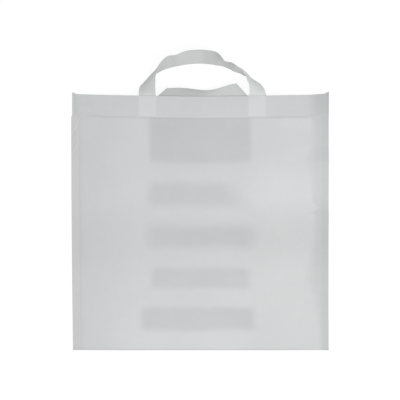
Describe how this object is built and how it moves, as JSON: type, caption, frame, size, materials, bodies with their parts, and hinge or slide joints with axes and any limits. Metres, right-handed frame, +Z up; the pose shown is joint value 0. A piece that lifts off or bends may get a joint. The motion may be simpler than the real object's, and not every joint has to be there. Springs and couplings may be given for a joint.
{
  "type": "non-woven pizza bag",
  "caption": "Flat empty carrier bag of pale spunbond cloth with welded sides, a hemmed mouth and loop handles, lying on its back, for carrying pizza boxes.",
  "frame": {"origin": "middle of the back panel, on the surface that the empty bag lies on", "axes": "+X to the bag's right, +Y from the bottom fold to the mouth and handles, +Z up out of the front panel"},
  "size_m": [0.45, 0.526, 0.0306],
  "materials": {
    "bag_cloth": "pale grey spunbond non-woven, point bonded, matt",
    "strip_cloth": "pale grey spunbond non-woven strip, point bonded, matt"
  },
  "bodies": {
    "root": {"bag_body": "bag_cloth", "front_handle": "strip_cloth", "back_handle": "strip_cloth"}
  },
  "joints": []
}
